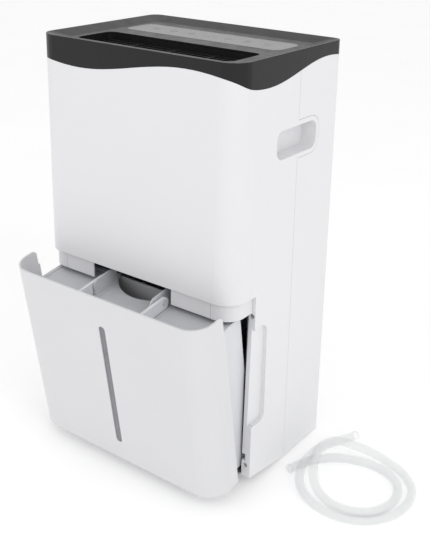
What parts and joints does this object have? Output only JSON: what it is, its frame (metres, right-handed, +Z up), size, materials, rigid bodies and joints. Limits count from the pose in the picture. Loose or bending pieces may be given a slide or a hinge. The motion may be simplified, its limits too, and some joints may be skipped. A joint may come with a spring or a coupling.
{
  "type": "portable room dehumidifier",
  "caption": "Upright room dehumidifier with a black top cover, top air outlet, side grips and a front water bucket pulled out and tipped forward, with a loose drain hose beside it.",
  "frame": {"origin": "on the resting plane, under the middle of the machine as it stands with its bucket pulled out: halfway between its sides, and halfway between the bucket's foremost edge and the drain plug at the back", "axes": "+Z up, the front with the water bucket faces -Y, and +X is to the right of someone who stands in front of the machine and looks at it"},
  "size_m": [0.561, 0.3348, 0.617],
  "materials": {
    "white_shell": "satin moulded plastic",
    "black_cover": "satin black moulded plastic",
    "panel_face": "gloss grey touch panel",
    "grey_plastic": "fine matte grey",
    "tank_plastic": "fine matte pale grey",
    "dark_plastic": "matte dark blue-grey",
    "rubber": "matte",
    "steel": "plated",
    "compressor_shell": "black enamel",
    "fins": "bare fins",
    "copper": "bare copper",
    "board": "green laminate",
    "hose": "milky translucent soft tube"
  },
  "bodies": {
    "cabinet": {"front_shell": "white_shell", "rear_shell": "white_shell", "lintel": "white_shell", "top_cover": "black_cover", "outlet_grille": "black_cover", "control_panel": "panel_face", "drain_spigot": "grey_plastic", "bay_liner": "dark_plastic", "base_pan": "dark_plastic", "fan_scroll": "dark_plastic", "outlet_duct": "dark_plastic", "drip_tray": "dark_plastic", "electrical_box": "dark_plastic", "electrical_box_lid": "dark_plastic", "bucket_switch": "dark_plastic", "reed_switch": "dark_plastic", "humidity_sensor": "dark_plastic", "motor_bracket": "dark_plastic", "cord_gland": "dark_plastic", "capacitor": "dark_plastic", "feet": "rubber", "compressor_grommets": "rubber", "rear_shell_screws": "steel", "jamb_screws": "steel", "fan_motor": "steel", "accumulator": "steel", "compressor": "compressor_shell", "evaporator": "fins", "condenser": "fins", "evaporator_bends": "copper", "condenser_bends": "copper", "discharge_pipe": "copper", "suction_pipe": "copper", "capillary_tube": "copper", "control_board": "board", "power_board": "board", "drain_hose": "hose"},
    "bucket_carriage": {"roller_axles": "steel"},
    "rollers": {"bucket_rollers": "dark_plastic"},
    "bucket": {"tank": "tank_plastic", "bucket_front": "white_shell", "level_window": "grey_plastic", "tank_lid": "grey_plastic", "panel_screws": "steel"},
    "bucket_handle": {"handle": "tank_plastic"},
    "float": {"tank_float": "tank_plastic"},
    "lever": {"switch_lever": "dark_plastic"},
    "blower": {"fan_wheel": "dark_plastic", "motor_shaft": "steel"},
    "rear_grille": {"intake_grille": "white_shell", "filter_mesh": "dark_plastic"},
    "plug": {"drain_plug": "grey_plastic"}
  },
  "joints": [
    {"name": "bucket_pull", "type": "slide", "parent": "cabinet", "child": "bucket_carriage", "axis": [0, -0.9877, 0.1564], "range_m": [-0.0281, 0]},
    {"name": "roller_spin", "type": "hinge", "parent": "bucket_carriage", "child": "rollers", "pos_m": [0, -0.08665, 0.0304], "axis": [1, 0, 0], "continuous": true},
    {"name": "bucket_tip", "type": "hinge", "parent": "bucket_carriage", "child": "bucket", "pos_m": [0, -0.08665, 0.0304], "axis": [1, 0, 0], "range_deg": [-9.11, 0]},
    {"name": "handle_lift", "type": "hinge", "parent": "bucket", "child": "bucket_handle", "pos_m": [0, -0.09732, 0.28289], "axis": [-1, 0, 0], "range_deg": [0, 75]},
    {"name": "float_rise", "type": "hinge", "parent": "bucket", "child": "float", "pos_m": [0.11, -0.0671, 0.26241], "axis": [-1, 0, 0], "range_deg": [0, 12]},
    {"name": "switch_press", "type": "hinge", "parent": "cabinet", "child": "lever", "pos_m": [0.1195, 0.0251, 0.222], "axis": [1, 0, 0], "range_deg": [0, 11.61], "stiffness_Nm_per_rad": 0.05},
    {"name": "blower_spin", "type": "hinge", "parent": "cabinet", "child": "blower", "pos_m": [0, -0.0189, 0.44], "axis": [0, 1, 0], "continuous": true},
    {"name": "grille_off", "type": "slide", "parent": "cabinet", "child": "rear_grille", "axis": [0, 1, 0], "range_m": [0, 0.06]},
    {"name": "plug_out", "type": "slide", "parent": "cabinet", "child": "plug", "axis": [0, 1, 0], "range_m": [0, 0.02]}
  ],
  "couplings": [
    {"joint": "bucket_tip", "follows": "bucket_pull", "rad_per_m": 5.6521},
    {"joint": "roller_spin", "follows": "bucket_pull", "rad_per_m": 210.53},
    {"joint": "switch_press", "follows": "bucket_pull", "rad_per_m": -7.2049}
  ]
}
